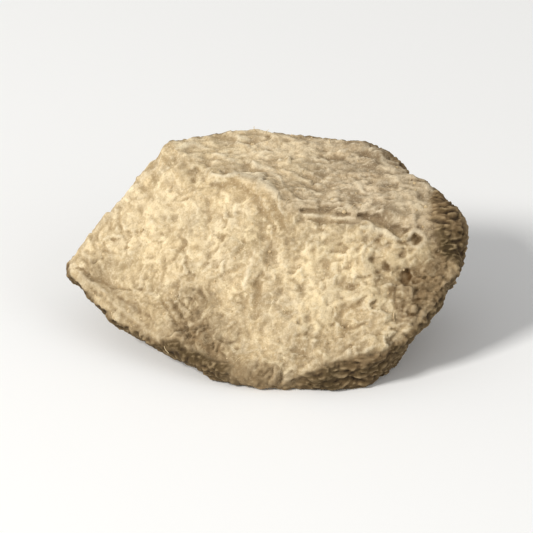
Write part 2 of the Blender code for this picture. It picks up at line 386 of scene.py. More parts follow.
# %% Furrows, crests and nicks: path, half width, height in mm
MARKED_LINES = (
    (((2.4, 15.2), (5.0, 14.8), (8.4, 14.5)), 0.90, -0.10),  # the sunken foot of the ledge
    (((3.0, 15.2), (5.0, 15.05), (7.0, 14.9)), 0.32, -0.34),  # the long furrow in it
    (((3.6, 14.4), (5.4, 14.2), (7.8, 14.1)), 0.17, -0.26),
    (((7.9, 14.8), (9.4, 14.5), (11.9, 13.3)), 0.30, -0.42),
    (((2.6, 15.9), (4.6, 15.6), (6.5, 15.7)), 0.13, -0.16),
    (((3.2, 14.8), (5.2, 14.65), (7.5, 14.55)), 0.16, 0.16),
    (((10.2, 13.7), (11.5, 13.1), (12.3, 13.6)), 0.20, -0.22),
    (((-4.4, 18.0), (-2.4, 18.3), (-0.7, 18.0), (0.5, 16.8), (1.5, 14.9)), 0.36, 0.18),  # curved lip
    (((-4.6, 17.3), (-2.9, 17.6), (-1.3, 16.6), (-0.2, 15.2), (0.6, 13.7)), 0.42, -0.24),  # under it
    (((-3.5, 15.8), (-3.3, 14.8), (-3.6, 13.6)), 0.24, -0.15),  # soft hollows of the front
    (((-2.7, 15.8), (-2.6, 14.6), (-3.0, 13.4)), 0.26, 0.12),
    (((-7.6, 13.3), (-7.0, 12.2), (-7.8, 11.2)), 0.30, -0.17),
    (((-8.7, 10.9), (-8.6, 9.7)), 0.26, -0.15),
    (((-5.1, 16.2), (-4.8, 14.4)), 0.26, -0.15),
    (((-0.9, 11.6), (-1.6, 9.9), (-1.9, 8.4)), 0.26, 0.13),
    (((-0.4, 10.0), (-0.7, 8.9), (-0.5, 7.6)), 0.26, -0.17),
    (((1.3, 8.6), (0.7, 7.2)), 0.28, -0.16),
    (((8.6, 7.9), (6.6, 6.8), (5.6, 5.4)), 0.32, -0.20),
    (((2.7, 4.6), (3.6, 4.7), (4.8, 4.3)), 0.30, -0.18),
    (((1.7, 3.6), (2.4, 3.1), (2.3, 2.3)), 0.26, -0.16),
    (((5.4, 2.5), (7.4, 3.0), (9.4, 3.8)), 0.28, 0.10),  # the edge above the right underside
    (((-15.7, 12.7), (-13.6, 14.4), (-11.4, 17.0), (-9.3, 19.4)), 0.34, 0.10),  # worn left edge
    (((8.0, 13.7), (9.6, 13.5), (11.4, 12.7)), 0.34, 0.20),  # crest below the ledge
    (((-16.3, 10.3), (-14.6, 9.3), (-13.1, 8.7), (-11.2, 8.4)), 0.18, -0.24),  # above the strip
    (((-16.0, 9.9), (-14.9, 9.0), (-13.6, 8.1)), 0.22, 0.13),  # streaks along the strip
    (((-14.9, 8.5), (-13.6, 7.5)), 0.18, -0.12),
    (((-13.4, 7.5), (-11.4, 6.1), (-9.8, 5.0)), 0.22, 0.10),
    (((-12.6, 7.9), (-10.8, 6.7), (-9.4, 5.6)), 0.22, -0.14),
    (((-12.9, 6.6), (-11.0, 5.2), (-9.6, 4.3)), 0.20, -0.12),
    (((-8.9, 7.6), (-8.3, 6.6), (-7.7, 5.6)), 0.14, -0.26),  # knife nicks
    (((-8.3, 7.7), (-7.6, 6.8), (-7.0, 5.9)), 0.14, -0.26),
    (((-7.6, 7.8), (-6.9, 7.0), (-6.3, 6.2)), 0.12, -0.20),
    (((11.1, 7.8), (12.0, 7.5), (12.9, 7.3)), 0.13, -0.22),  # grooves across the right rim
    (((11.2, 6.9), (12.0, 6.5), (12.8, 6.2)), 0.13, -0.22),
    (((10.9, 6.1), (11.8, 5.7), (12.5, 5.2)), 0.12, -0.20),
    (((10.5, 5.3), (11.3, 4.9), (12.0, 4.4)), 0.12, -0.18),
    (((6.0, 5.6), (7.2, 5.2), (8.2, 5.6)), 0.22, -0.16),  # mottles low on the right
    (((0.7, 13.6), (0.2, 11.2), (-0.9, 8.9), (-1.1, 6.6)), 0.45, -0.14),  # valley of the front
    (((-6.6, 8.6), (-5.7, 8.2), (-5.0, 7.5)), 0.20, -0.18),
    (((7.3, 17.9), (8.0, 16.8)), 0.20, 0.12),  # glints of the weathered face, raised and painted pale: painted highlight
    (((10.5, 16.8), (11.7, 16.3)), 0.20, 0.12),
    (((12.2, 15.9), (13.1, 15.3)), 0.22, 0.13),
    (((13.4, 17.3), (14.3, 16.7)), 0.20, 0.12),
    (((9.6, 19.8), (10.7, 18.7)), 0.24, 0.12),
    (((-1.6, 19.3), (0.2, 18.8), (1.4, 17.5)), 0.24, 0.13),
    (((-4.3, 20.0), (-2.7, 19.3)), 0.24, 0.12),
    (((-7.8, 20.4), (-6.2, 20.9), (-5.0, 20.5)), 0.26, 0.14),
    (((-3.3, 21.6), (-1.4, 21.4)), 0.22, 0.10),
    (((2.8, 17.7), (4.5, 17.0), (6.0, 17.2)), 0.24, -0.14),  # its hollows, painted dark: painted shade
    (((3.2, 18.8), (5.1, 18.6)), 0.24, -0.13),
    (((5.8, 19.9), (7.2, 19.2)), 0.20, -0.12),
    (((1.9, 16.9), (3.0, 16.3), (4.4, 16.3)), 0.20, -0.14),
    (((8.8, 16.2), (9.9, 15.7)), 0.20, -0.13),
)

# %% Pits and raised dots: place, half width, height in mm
MARKED_SPOTS = (
    ((12.0, 9.6), 0.66, -0.45),  # the brown pit
    ((12.6, 10.1), 0.30, -0.20),
    ((12.7, 12.7), 0.30, -0.45),  # the middle of the ring scar
    ((9.4, 12.7), 0.30, -0.28), ((10.2, 10.4), 0.34, -0.32), ((9.5, 9.9), 0.24, -0.25),
    ((10.7, 8.3), 0.26, -0.25), ((11.3, 11.5), 0.24, -0.22), ((11.6, 7.3), 0.30, -0.24),
    ((12.9, 7.8), 0.26, -0.22), ((8.9, 10.9), 0.26, -0.20), ((4.0, 11.7), 0.24, -0.16),
    ((5.1, 8.6), 0.34, -0.16), ((2.8, 8.6), 0.32, -0.15), ((3.1, 2.1), 0.30, -0.18),
    ((4.0, 2.8), 0.28, -0.18), ((-7.6, 8.8), 0.34, -0.16), ((-14.3, 9.5), 0.26, -0.22),
    ((-6.1, 18.6), 0.34, -0.30), ((-6.1, 17.7), 0.32, -0.24), ((-7.0, 19.1), 0.26, -0.22),
    ((-7.8, 19.7), 0.26, -0.20), ((-5.0, 19.3), 0.24, -0.22),
    ((6.9, 3.2), 0.30, 0.28),  # a raised grain on the lower rim, painted pale: painted highlight
    ((8.4, 3.4), 0.22, 0.20),
)

# %% Darker patches, partly painted shade where slopes, the lower rim and the right end lie in shadow, and paler new breaks: place, half width, strength
DARK_AND_PALE_PATCHES = (
    ((-5.9, 4.4), 1.6, 1.10),  # the dark hollow above the rind patch, painted shade
    ((-6.1, 7.6), 1.8, 0.60), ((-3.9, 3.6), 1.2, 0.75), ((-7.6, 5.4), 1.0, 0.30),
    ((-2.3, 4.7), 1.1, 0.22), ((-14.7, 10.4), 1.2, 0.60), ((-10.6, 8.7), 1.5, 0.28),
    ((-8.0, 11.0), 1.1, 0.22), ((-6.8, 13.5), 1.1, 0.40), ((-5.5, 18.0), 1.1, 0.28),
    ((-7.2, 18.5), 1.0, 0.28), ((0.8, 8.4), 1.1, 0.42), ((1.4, 12.9), 1.4, 0.50),
    ((1.0, 16.0), 1.0, 0.30), ((6.3, 13.3), 1.1, 0.45), ((4.6, 15.0), 1.0, 0.35),
    ((7.1, 18.3), 1.1, 0.38),
    ((11.8, 6.7), 1.4, 0.28),  # the pitted right rim
    ((11.2, 8.8), 0.9, 0.35), ((0.5, 1.5), 1.2, 0.60), ((5.4, 1.2), 1.4, 0.80),
    ((13.6, 8.6), 1.8, 1.25), ((14.1, 9.9), 0.9, 0.35), ((14.2, 13.5), 0.9, 0.50),
    ((15.3, 11.8), 1.3, 1.10),
    ((2.6, 19.1), 1.4, -0.80),  # paler from here on
    ((11.6, 15.9), 1.2, -0.80), ((12.0, 10.6), 0.9, -0.90), ((9.3, 8.0), 1.1, -0.65),
    ((4.2, 6.9), 2.2, -0.60), ((10.0, 4.1), 1.3, -1.00), ((-4.5, 20.2), 1.5, -0.50),
    ((-1.0, 13.5), 1.4, -0.55), ((-9.2, 15.0), 2.0, -0.65), ((-12.7, 13.0), 1.3, -0.45),
    ((-3.8, 12.8), 1.2, -0.45), ((13.5, 11.6), 0.9, -1.00), ((6.0, 8.8), 1.2, -0.60),
    ((10.9, 11.0), 0.8, -0.80), ((9.1, 8.2), 0.9, -0.60), ((9.0, 10.6), 0.8, -0.50),
    ((13.0, 15.5), 0.8, -0.50),
)
patch_darkening = np.zeros(len(points))
for centre, half_width, strength in DARK_AND_PALE_PATCHES:
    patch_darkening += strength * spot(centre, half_width)

# %% Brown stains of the pits near the right end: place, half width, strength
STAINS = (
    ((12.0, 9.3), 0.88, 1.00), ((12.7, 12.7), 0.50, 0.55), ((10.4, 10.4), 0.45, 0.70),
    ((9.4, 9.5), 0.50, 0.55), ((10.7, 8.2), 0.50, 0.65), ((11.4, 7.1), 0.50, 0.60),
    ((12.2, 6.2), 0.60, 0.65), ((8.8, 10.9), 0.30, 0.30), ((9.5, 12.7), 0.40, 0.45),
    ((11.2, 11.4), 0.35, 0.50), ((12.7, 7.8), 0.45, 0.50),
)

# %% The ring scar, and all marks together
RING_SCAR = ((12.7, 12.7), 0.62, 0.16, 0.18)  # place, radius, half width and height of the ring

marks = np.zeros(len(points))
for path, half_width, height in MARKED_LINES:
    marks += height * line(path, half_width)
for centre, half_width, height in MARKED_SPOTS:
    marks += height * spot(centre, half_width)
ring_centre, ring_radius, ring_width, ring_height = RING_SCAR
from_ring = np.linalg.norm(wavering - ring_centre, axis=1) - ring_radius
marks += ring_height * bell(from_ring, ring_width) * seen
stain = np.zeros(len(points))
for centre, half_width, strength in STAINS:
    stain = np.maximum(stain, strength * spot(centre, half_width))
print(f"marks reach from {marks.min():.2f} to {marks.max():.2f} mm")

# %% [markdown]
# ## Bundles of fibres
#
# A starchy root that breaks dry tears along its fibre bundles. They are the marks that catch the
# eye, so each one is laid on the skin by itself: a short bent stroke, raised where a bundle stayed
# and sunk where one was pulled out. Noise alone gives worms or bubbles, and never the way that
# fibres lie side by side.

# %% A finder of nearby points, and the way the fibres lie
finder = KDTree(len(points))
for index, point in enumerate(points):
    finder.insert(point, index)
finder.balance()


def strokes(count, chance, turn, half_width, half_length, roll):
    """Heights from 0 to 1 of so many bent strokes on the skin. The chance says how likely one is
    to start at each point, the turn is its way in the picture, and the roll sets the draws."""
    draw = np.random.default_rng(roll)
    starts = draw.choice(len(points), count, p=chance / chance.sum())
    heights = np.zeros(len(points))
    for start in starts:
        luck, strength, bend, stray = draw.uniform((0, 0.35, -0.5, -0.45), (1, 1, 0.5, 0.45))
        size = 0.45 + 0.95 * luck**2
        angle = turn[start] + stray
        way = math.cos(angle) * np.array((1.0, 0.0, 0.0)) + math.sin(angle) * viewer_up
        normal = normals[start]
        way = way - normal * (way @ normal)
        way /= np.linalg.norm(way) + 1e-9
        side = np.cross(normal, way)
        reach = half_length * size
        close_by = [index for _, index, _ in finder.find_range(points[start], reach)]
        offset = points[close_by] - points[start]
        along = offset @ way / reach
        across = offset @ side - bend * reach * along**2
        shape = strength * bell(across, half_width * size) * np.clip(1 - along**2, 0, 1)
        heights[close_by] = np.maximum(heights[close_by], shape)
    return heights


pale = (1 - rind) * (1 - weathered)
patchy = np.clip(0.35 + 1.6 * clouds(points, 3.6, 80), 0.03, 1.3)
lie = np.radians(78 + 80 * clouds(points, 5.0, 81) + 50 * np.clip((points[:, 0] - 7) / 6, 0, 1))
raised = strokes(800, pale * patchy + 0.01, lie, 0.17, 1.0, 82)
sunk = strokes(800, pale * patchy + 0.01, lie + 0.2, 0.15, 0.95, 83)
hairs = strokes(1200, pale * patchy + 0.05, lie, 0.085, 0.8, 84)
bundles = strokes(110, pale * patchy + 0.005, lie, 0.30, 1.5, 88)
tears = strokes(170, pale * patchy + 0.005, lie + 0.3, 0.26, 1.3, 89)

# %% [markdown]
# ## Broken flesh
#
# Under the bundles the flesh is mealy: small tilted facets, curling crests, grains and pores. Each
# kind is its own height map, and they are added with the bundles on top.

# %% Crests, facets and pores of the flesh
curled = swirled(swirled(points, 2.8, 0.9, 31), 1.0, 0.30, 33)
lumps = octaves(curled, 3.0, 74, steps=2)
crests = 1 - 2.3 * np.abs(octaves(curled, 2.3, 32, steps=3))
in_places = np.clip(0.4 + 1.7 * clouds(points, 1.9, 36), 0, 1)
elsewhere = np.clip(0.4 + 1.7 * clouds(points, 1.9, 34), 0, 1)
creases = bell(octaves(curled, 1.9, 35, steps=2), 0.15) * in_places
curls = bell(octaves(curled, 1.7, 30, steps=2), 0.17) * elsewhere * (1 - creases)
facets = chips(swirled(points, 0.9, 0.28, 37), 1.7, 38)
small_facets = chips(swirled(points, 0.5, 0.1, 39), 0.45, 40)
right_end = np.clip((points[:, 0] - 7) / 4, 0, 1)
pored = np.clip(clouds(points, 2.6, 46) * 1.6 - 0.35 + 0.8 * right_end, 0, 1)
pores = pored * dots(points, 0.75, 45, 0.4, 0.10, 0.16)
pitted = np.clip(0.25 + 1.2 * clouds(points, 3.0, 57) + 0.55 * right_end, 0, 1)
pits = pitted * dots(swirled(points, 1.2, 0.3, 48), 1.35, 49, 0.55, 0.20, 0.16)
mealy = octaves(points, 0.55, 47, steps=3)
rightwards = np.clip((points[:, 0] - 4) / 5, -1, 1)
rough = 0.80 + 0.25 * rightwards + 0.5 * clouds(points, 3.2, 75) + 0.8 * np.clip(patch_darkening, 0, 1)
rough = np.clip(rough, 0.45, 1.3)
flesh_height = 0.20 * lumps + 0.08 * mealy - 0.22 * pores - 0.30 * pits + rough * (
    0.14 * crests + 0.22 * facets + 0.07 * small_facets + 0.045 * curls - 0.09 * creases
    + 0.025 * raised - 0.04 * sunk + 0.06 * bundles - 0.12 * tears + 0.01 * hairs
)

# %% The weathered face: the same root, rubbed smoother, with streaks along it
grained = swirled(points, 2.4, 0.6, 51)
streaks = octaves(grained, (4.2, 0.9, 0.9), 52, steps=3)
cracks = bell(octaves(grained, (5.5, 1.3, 1.3), 55, steps=2), 0.07) * elsewhere
flakes = chips(swirled(points, 1.5, 0.3, 53), (1.9, 1.2, 1.2), 54)
old_chance = weathered * np.clip(0.6 + 1.2 * clouds(points, 2.5, 90), 0.05, 1.3) + 1e-4
old_lie = np.radians(-14 + 70 * clouds(points, 3.5, 85))
old_raised = strokes(260, old_chance, old_lie, 0.17, 0.9, 86)
old_sunk = strokes(300, old_chance, old_lie, 0.15, 1.0, 87)
weathered_height = (
    0.14 * streaks + 0.17 * flakes + 0.05 * small_facets + 0.03 * old_raised - 0.05 * old_sunk
    + 0.14 * lumps + 0.04 * crests - 0.15 * cracks + 0.06 * mealy - 0.15 * pores - 0.15 * pits
)

# %% [markdown]
# ## Rind
#
# The rind is a thin cork skin that shrank with the root. It folds lengthwise, splits across the
# folds into scales, and carries small warts where it breathed. The folds themselves are already
# in the solid, so only the finer ones are added here.

# %% Folds, scales and warts
folds = 1 - 2 * np.abs(octaves(swirled(points, 2.6, 0.7, 61), (5.5, 0.8, 0.8), 62, steps=3))
scale_cells = swirled(points, 0.9, 0.2, 63), (1.5, 0.85, 0.85), 64
nearest, next_nearest, _, _ = grains(*scale_cells)
splits = bell(next_nearest - nearest, 0.09)
scales = chips(*scale_cells)
warts = dots(points, 1.3, 65, 0.35, 0.16)
rind_height = (
    0.17 * folds - 0.14 * splits + 0.07 * scales + 0.14 * warts
    + 0.045 * octaves(points, 0.35, 66, steps=2)
)

# %% [markdown]
# ## Worn and bitten edges
#
# Where two faces meet, dry root crumbles. The height of a point above its broad surroundings says
# how sharp an edge it is on, and cells with luck of their own say which crumbs broke away. The
# rind stands a little proud of the flesh at its torn border, as the skin of a chip does.

# %% All heights together
bite_distance, _, _, bite_luck = grains(swirled(points, 0.8, 0.2, 71), 1.1, 72)
edge_share = np.clip(edge_rise / 0.30, 0, 1)
bite_depth = (bite_luck[:, 0] < 0.45) * (0.12 + 0.22 * bite_luck[:, 1])
bites = edge_share * bite_depth * bell(bite_distance, 0.62)
height = (1 - rind - weathered) * flesh_height + weathered * weathered_height + rind * rind_height
border = 4 * rind * (1 - rind)
height += marks - 0.9 * bites + 0.10 * rind - 0.05 * border
above_base = np.clip(points[:, 2] / 0.35, 0, 1)
height = np.where(flat_cut, 0.0, height * above_base)
height = melted(height, 1, 0.35)
print(f"fine heights reach from {height.min():.2f} to {height.max():.2f} mm")

# %% [markdown]
# ## Moving the skin
#
# Every point moves along its own normal by its height. The flat cut underneath stays flat, so
# that the piece still stands, and gets only shallow dents that go inwards. Then the whole skin is
# fitted to the solid's box, so that the dressed piece has exactly the solid's size.

# %% Displace, stand it up and fit it
dents = 0.16 * pits + 0.10 * pores + 0.06 * sunk + 0.06 * np.clip(facets, 0, 1)
dents += 0.10 * np.clip(streaks + 0.3, 0, 1)
moved = points + normals * height[:, None]
moved[:, 2] = np.maximum(moved[:, 2], 0.0)
inner_cut = flat_cut & (melted(flat_cut.astype(float), 6) > 0.98)
moved[inner_cut, 2] += dents[inner_cut]
low, high = moved.min(axis=0), moved.max(axis=0)
cad_low, cad_high = (np.array(corner) / MM for corner in cad_box)
moved = (moved - low) / (high - low) * (cad_high - cad_low) + cad_low
print("fitting stretched it by", np.round((cad_high - cad_low) / (high - low), 4))

# %% [markdown]
# ## Where it is shaded, and where it is new
#
# The paint darkens the underside, the lower left strip, the right rim, the lower rim, the rind
# patch, the right end and the bottom, and in part the dark patches: this is painted shade. A new
# break is paler than an old one. A picture wrapped round the piece would say so too, but it would
# show its pixels close up and its seams behind. Numbers stored with the points have neither, and
# the same masks tell the crumbs and fibres where to grow.

# %% Painted shade in places
STRIP_BORDER = ((-18.0, 10.9), (-13.1, 8.7), (-9.0, 6.6), (-6.0, 4.2))  # the strip is below this
across, up = picture[:, 0] + 1.8 * torn, picture[:, 1] - 1.2 * torn


def most(*kinds):
    """The strongest of some masks at each point, from 0 to 1."""
    return np.clip(np.max(kinds, axis=0), 0, 1)


# Painted shade: darker where the skin faces down, on the lower left strip, the right rim, the lower
# rim and the rind patch, and towards the right and the bottom
under = beyond(-normals[:, 2] - 0.05, 0.09) * (1 - 0.7 * flat_cut)
strip = beyond(0.8 * torn - above(STRIP_BORDER), 0.15) * (picture[:, 0] < -5.5) * seen
right_rim = beyond(across - 12.3, 0.60) * beyond(13.2 - up, 0.5)
low_rim = beyond(1.9 - up, 0.30) * beyond(1.2 - across, 0.4) * seen
dusk = (0.20 * beyond(across - 8.5, 1.5) + 0.18 * beyond(5.5 - up, 1.5)) * seen
painted_shade = most(under, 0.38 * strip, 0.65 * right_rim, low_rim, dusk, remnant)
print(f"grime covers {painted_shade.mean():.0%} of the points")

# %% New breaks: place, half width, strength
NEW_BREAKS = (((4.8, 10.4), 3.4, 1.0), ((-6.5, 13.0), 4.5, 0.5), ((-12.5, 9.5), 3.5, 0.3))

fresh = np.clip(-patch_darkening, 0, 1)
for (break_across, break_up), half_width, strength in NEW_BREAKS:
    from_break = np.hypot(across - break_across, up - break_up)
    fresh += strength * bell(from_break, half_width) * seen

# %% Masks for the paint and for what lies on the skin
old_share = weathered * (0.18 + 0.82 * np.clip((picture[:, 0] + 4) / 12, 0, 1))
hollow = height - melted(height, 6)
stands_out = most(0.6 * curls, 0.4 * raised, 0.6 * bundles, 0.7 * old_raised, marks / 0.16)
sinks_in = most(
    creases * (1 - weathered), cracks * weathered, 0.7 * sunk, 0.9 * tears, 0.7 * old_sunk,
    -marks / 0.22,
)
# Places painted dark, with the painted shade and the partly shaded patches among them, and pits
dark_places = most(0.9 * (patch_darkening + painted_shade), stain, 1.5 * pits, 1.5 * pores, -marks / 0.2)
pale_places = (1 - rind) * (1 - dark_places)
MASKS = {
    "rind": rind,
    "weathered": old_share,
    "rough": rough,
    "tone": np.clip(0.5 + 0.55 * octaves(swirled(points, 2.0, 1.0, 91), 2.6, 92, steps=3), 0, 1),
    "cavity": np.clip(0.5 + hollow * 3.6, 0, 1),
    "broad_cavity": np.clip(0.5 + (height - melted(height, 60)) * 2.2, 0, 1),
    "raised": stands_out * (1 - rind),
    "sunk": sinks_in * (1 - rind),
    "hairs": hairs * (1 - rind),
    "pores": most(pores, 0.75 * pits) * (1 - rind),
    "fresh": np.clip(fresh, 0, 1),
    "patch_darkening": np.clip(patch_darkening, 0, 1),
    "stain": stain,
    "painted_shade": painted_shade,
    "crumbs": pale_places * np.clip(-hollow * 9, 0.03, 1) * beyond(normals[:, 2] - 0.1, 0.1),
    "frayed": pale_places * np.clip(0.3 + edge_rise / 0.6, 0, 1) * (points[:, 2] > 1.0),
}
lie_ways = np.cos(lie)[:, None] * np.array((1.0, 0.0, 0.0)) + np.sin(lie)[:, None] * viewer_up


# %% Store the masks with the points
def triangles(mesh):
    return sum(len(face.vertices) - 2 for face in mesh.polygons)


def keep_mask(mesh, name, values):
    """Store a number from 0 to 1 with each point, where the paint can read it."""
    layer = mesh.attributes.new(name, "FLOAT", "POINT")
    layer.data.foreach_set("value", values.astype(np.float32))


skin.vertices.foreach_set("co", (moved * MM).ravel())
for name, values in MASKS.items():
    keep_mask(skin, name, values)
lie_layer = skin.attributes.new("lie", "FLOAT_VECTOR", "POINT")
lie_layer.data.foreach_set("vector", lie_ways.astype(np.float32).ravel())
skin.update()
skin.shade_smooth()
root_piece = new_object("dried_root_piece", skin)
print("the root piece has", triangles(skin), "triangles")

# %% [markdown]
# ## The finish
#
# One layered material covers the piece, because the three surfaces run into each other. Masks
# stored on the points say where each one is, and noise in object coordinates breaks every colour
# up. It is built like real paint: a base, and then thin coats, each laid only where its pattern
# says. Crests are paler and hollows darker: this is painted highlight on the crests and painted
# shade in the hollows.


# %% Small helpers for node trees
def add(tree, kind, settings=(), **sockets):
    """A new node with its settings made and its sockets filled or linked, by name or number."""
    node = tree.nodes.new(kind)
    for name, value in dict(settings).items():
        setattr(node, name, value)
    for name, value in sockets.items():
        key = int(name[1:]) if name[0] == "_" and name[1:].isdigit() else name.replace("_", " ")
        socket = node.inputs[key]
        if isinstance(value, bpy.types.NodeSocket):
            tree.links.new(value, socket)
        else:
            socket.default_value = value
    return node


def new_material(name):
    """A material, its node tree and its shader."""
    material = bpy.data.materials.new(name)
    material.use_nodes = True
    return material, material.node_tree, material.node_tree.nodes["Principled BSDF"]


def mask(tree, name):
    return add(tree, "ShaderNodeAttribute", {"attribute_name": name}).outputs["Fac"]


def speckle(tree, place, size, detail=3.0, stretch=(1, 1, 1), swirl=0.0):
    """Noise from 0 to 1 whose blotches are this many mm wide."""
    spread = add(tree, "ShaderNodeMapping", {"vector_type": "POINT"}, Vector=place, Scale=stretch)
    return add(tree, "ShaderNodeTexNoise", Vector=spread.outputs[0], Scale=1 / (size * MM),
               Detail=detail, Roughness=0.6, Distortion=swirl).outputs["Fac"]


def ranged(tree, value, low, high, to_low=0.0, to_high=1.0):
    return add(tree, "ShaderNodeMapRange", _0=value, _1=low, _2=high, _3=to_low, _4=to_high).outputs[0]


def times(tree, a, b):
    return add(tree, "ShaderNodeMath", {"operation": "MULTIPLY"}, _0=a, _1=b).outputs[0]


def mixed(tree, share, a, b):
    """A colour that goes from a to b as the share goes from 0 to 1."""
    node = tree.nodes.new("ShaderNodeMix")
    node.data_type = "RGBA"
    for number, value in ((0, share), (6, a), (7, b)):
        if isinstance(value, bpy.types.NodeSocket):
            tree.links.new(value, node.inputs[number])
        else:
            node.inputs[number].default_value = value
    return node.outputs[2]


def paint(red, green, blue):
    """A colour written as it looks on a screen, from 0 to 255."""
    shares = [c / 255 for c in (red, green, blue)]
    return tuple(s / 12.92 if s <= 0.04045 else ((s + 0.055) / 1.055) ** 2.4 for s in shares) + (1.0,)


# %% Noises and masks that the paints share
def patterns(tree):
    """Everything that breaks the colours up, by name, each from 0 to 1."""
    place = add(tree, "ShaderNodeTexCoord").outputs["Object"]
    found = {name: mask(tree, name) for name in MASKS}
    found["broad"] = speckle(tree, place, 5.0, 2.0)
    found["medium"] = speckle(tree, place, 1.3, 4.0, swirl=1.6)
    found["fine"] = speckle(tree, place, 0.28, 4.0)
    found["grit"] = speckle(tree, place, 0.15, 3.0)
    found["lengthwise"] = speckle(tree, place, 0.6, 3.0, (0.25, 1, 1))
    mottles = ranged(tree, speckle(tree, place, 0.85, 2.0, swirl=1.3), 0.56, 0.68)
    found["mottles"] = times(tree, found["rough"], mottles)
    return found


def coated(tree, found, colour, coats):
    """A colour under coats of paint, each as strong as a pattern says at each place."""
    for pattern, none, full, strength, shade in coats:
        share = ranged(tree, found[pattern], none, full, 0, strength)
        colour = mixed(tree, share, colour, paint(*shade))
    return colour


# %% Coats of the three surfaces: pattern, its value for none and for all, strength, shade
FLESH_BASE = (221, 196, 152)
FLESH_COATS = (
    ("broad", 0.35, 0.65, 1.0, (207, 183, 143)),
    ("tone", 0.48, 0.12, 0.9, (146, 123, 87)),
    ("medium", 0.50, 0.32, 0.85, (158, 135, 98)),
    ("mottles", 0, 1.3, 0.78, (164, 140, 102)),
    ("medium", 0.52, 0.66, 0.9, (244, 225, 184)),
    ("fine", 0.55, 0.75, 0.35, (236, 218, 180)),
    ("fresh", 0, 1, 0.66, (246, 225, 181)),
    # Painted shade in the broad hollows
    ("broad_cavity", 0.5, 0.15, 0.75, (170, 147, 112)),
    # Painted highlight on the crests and raised fibres, then painted shade in the furrows
    ("raised", 0, 1, 0.55, (243, 230, 201)),
    ("sunk", 0, 1, 0.70, (158, 134, 97)),
    # Painted shade in the hollows, then painted highlight on the crests
    ("cavity", 0.5, 0.1, 0.6, (146, 123, 88)),
    ("cavity", 0.55, 0.9, 0.6, (244, 231, 200)),
    ("hairs", 0, 1, 0.3, (236, 218, 182)),
    # Painted shade in the pores and pits
    ("pores", 0, 1, 0.8, (112, 88, 58)),
)
WEATHERED_BASE = (196, 173, 139)
WEATHERED_COATS = (
    ("lengthwise", 0.35, 0.65, 1.0, (216, 194, 158)),
    ("tone", 0.5, 0.12, 0.9, (130, 110, 83)),
    ("tone", 0.55, 0.9, 0.9, (229, 209, 175)),
    ("mottles", 0, 1.3, 0.78, (134, 114, 88)),
    ("medium", 0.50, 0.30, 0.8, (154, 134, 106)),
    ("medium", 0.56, 0.70, 0.9, (231, 213, 181)),
    # Painted shade in the broad hollows
    ("broad_cavity", 0.5, 0.15, 0.7, (146, 126, 98)),
    # Painted highlight on the crests, glints and raised strokes, then painted shade in the furrows
    ("raised", 0, 1, 0.85, (238, 223, 192)),
    ("sunk", 0, 1, 0.6, (130, 110, 84)),
    # Painted shade in the hollows, then painted highlight on the crests
    ("cavity", 0.5, 0.1, 0.75, (124, 104, 78)),
    ("cavity", 0.55, 0.9, 0.85, (232, 216, 186)),
    # Painted shade in the pores and pits
    ("pores", 0, 1, 0.8, (104, 84, 60)),
    ("fresh", 0, 1, 0.5, (226, 206, 170)),
)
BARK_BASE = (104, 82, 54)
BARK_COATS = (
    ("lengthwise", 0.3, 0.7, 1.0, (134, 110, 78)),
    ("tone", 0.5, 0.85, 0.8, (148, 126, 94)),
    ("medium", 0.5, 0.7, 0.7, (84, 68, 40)),
    # Painted shade where the rind faces down and over the rind patch, then darker patches, partly
    # painted shade
    ("painted_shade", 0, 1, 0.75, (76, 61, 35)),
    ("patch_darkening", 0, 1, 1.0, (70, 56, 31)),
    # Painted shade in the broad hollows and the hollows, then painted highlight on the crests
    ("broad_cavity", 0.5, 0.2, 0.7, (72, 56, 35)),
    ("cavity", 0.5, 0.1, 0.85, (50, 37, 22)),
    ("cavity", 0.55, 0.95, 0.85, (182, 158, 120)),
)
# Grit on both cut faces, and the colour of the painted shade, which is darkest in the hollows
GRIT_COATS = (
    ("grit", 0.48, 0.30, 0.40, (160, 136, 98)),
    ("grit", 0.54, 0.72, 0.45, (248, 232, 198)),
)
SHADE_BASE = (78, 60, 35)
SHADE_COATS = (
    ("cavity", 0.2, 0.75, 1.0, (148, 124, 90)),
    ("fine", 0.56, 0.72, 0.5, (190, 168, 132)),
)
PIT_BROWN = (86, 60, 28)


# %% All coats together, in one material
def dried_root_colour(tree, found):
    """Flesh, weathered face and rind, each in its place, with the painted shade between them."""
    flesh = coated(tree, found, paint(*FLESH_BASE), FLESH_COATS)
    old = coated(tree, found, paint(*WEATHERED_BASE), WEATHERED_COATS)
    bark = coated(tree, found, paint(*BARK_BASE), BARK_COATS)
    shade_colour = coated(tree, found, paint(*SHADE_BASE), SHADE_COATS)
    colour = coated(tree, found, mixed(tree, found["weathered"], flesh, old), GRIT_COATS)
    # Darker patches, partly painted shade, then brown stains pooled in the hollows, then the painted
    # shade of the underside and the rims
    ragged = ranged(tree, found["medium"], 0.36, 0.62, 1.3, 0.6)
    colour = mixed(tree, times(tree, found["patch_darkening"], ragged), colour, shade_colour)
    pooled = ranged(tree, found["cavity"], 0.25, 0.80, 1.2, 0.5)
    colour = mixed(tree, times(tree, found["stain"], pooled), colour, paint(*PIT_BROWN))
    colour = mixed(tree, times(tree, found["painted_shade"], 0.9), colour, shade_colour)
    return mixed(tree, found["rind"], colour, bark)


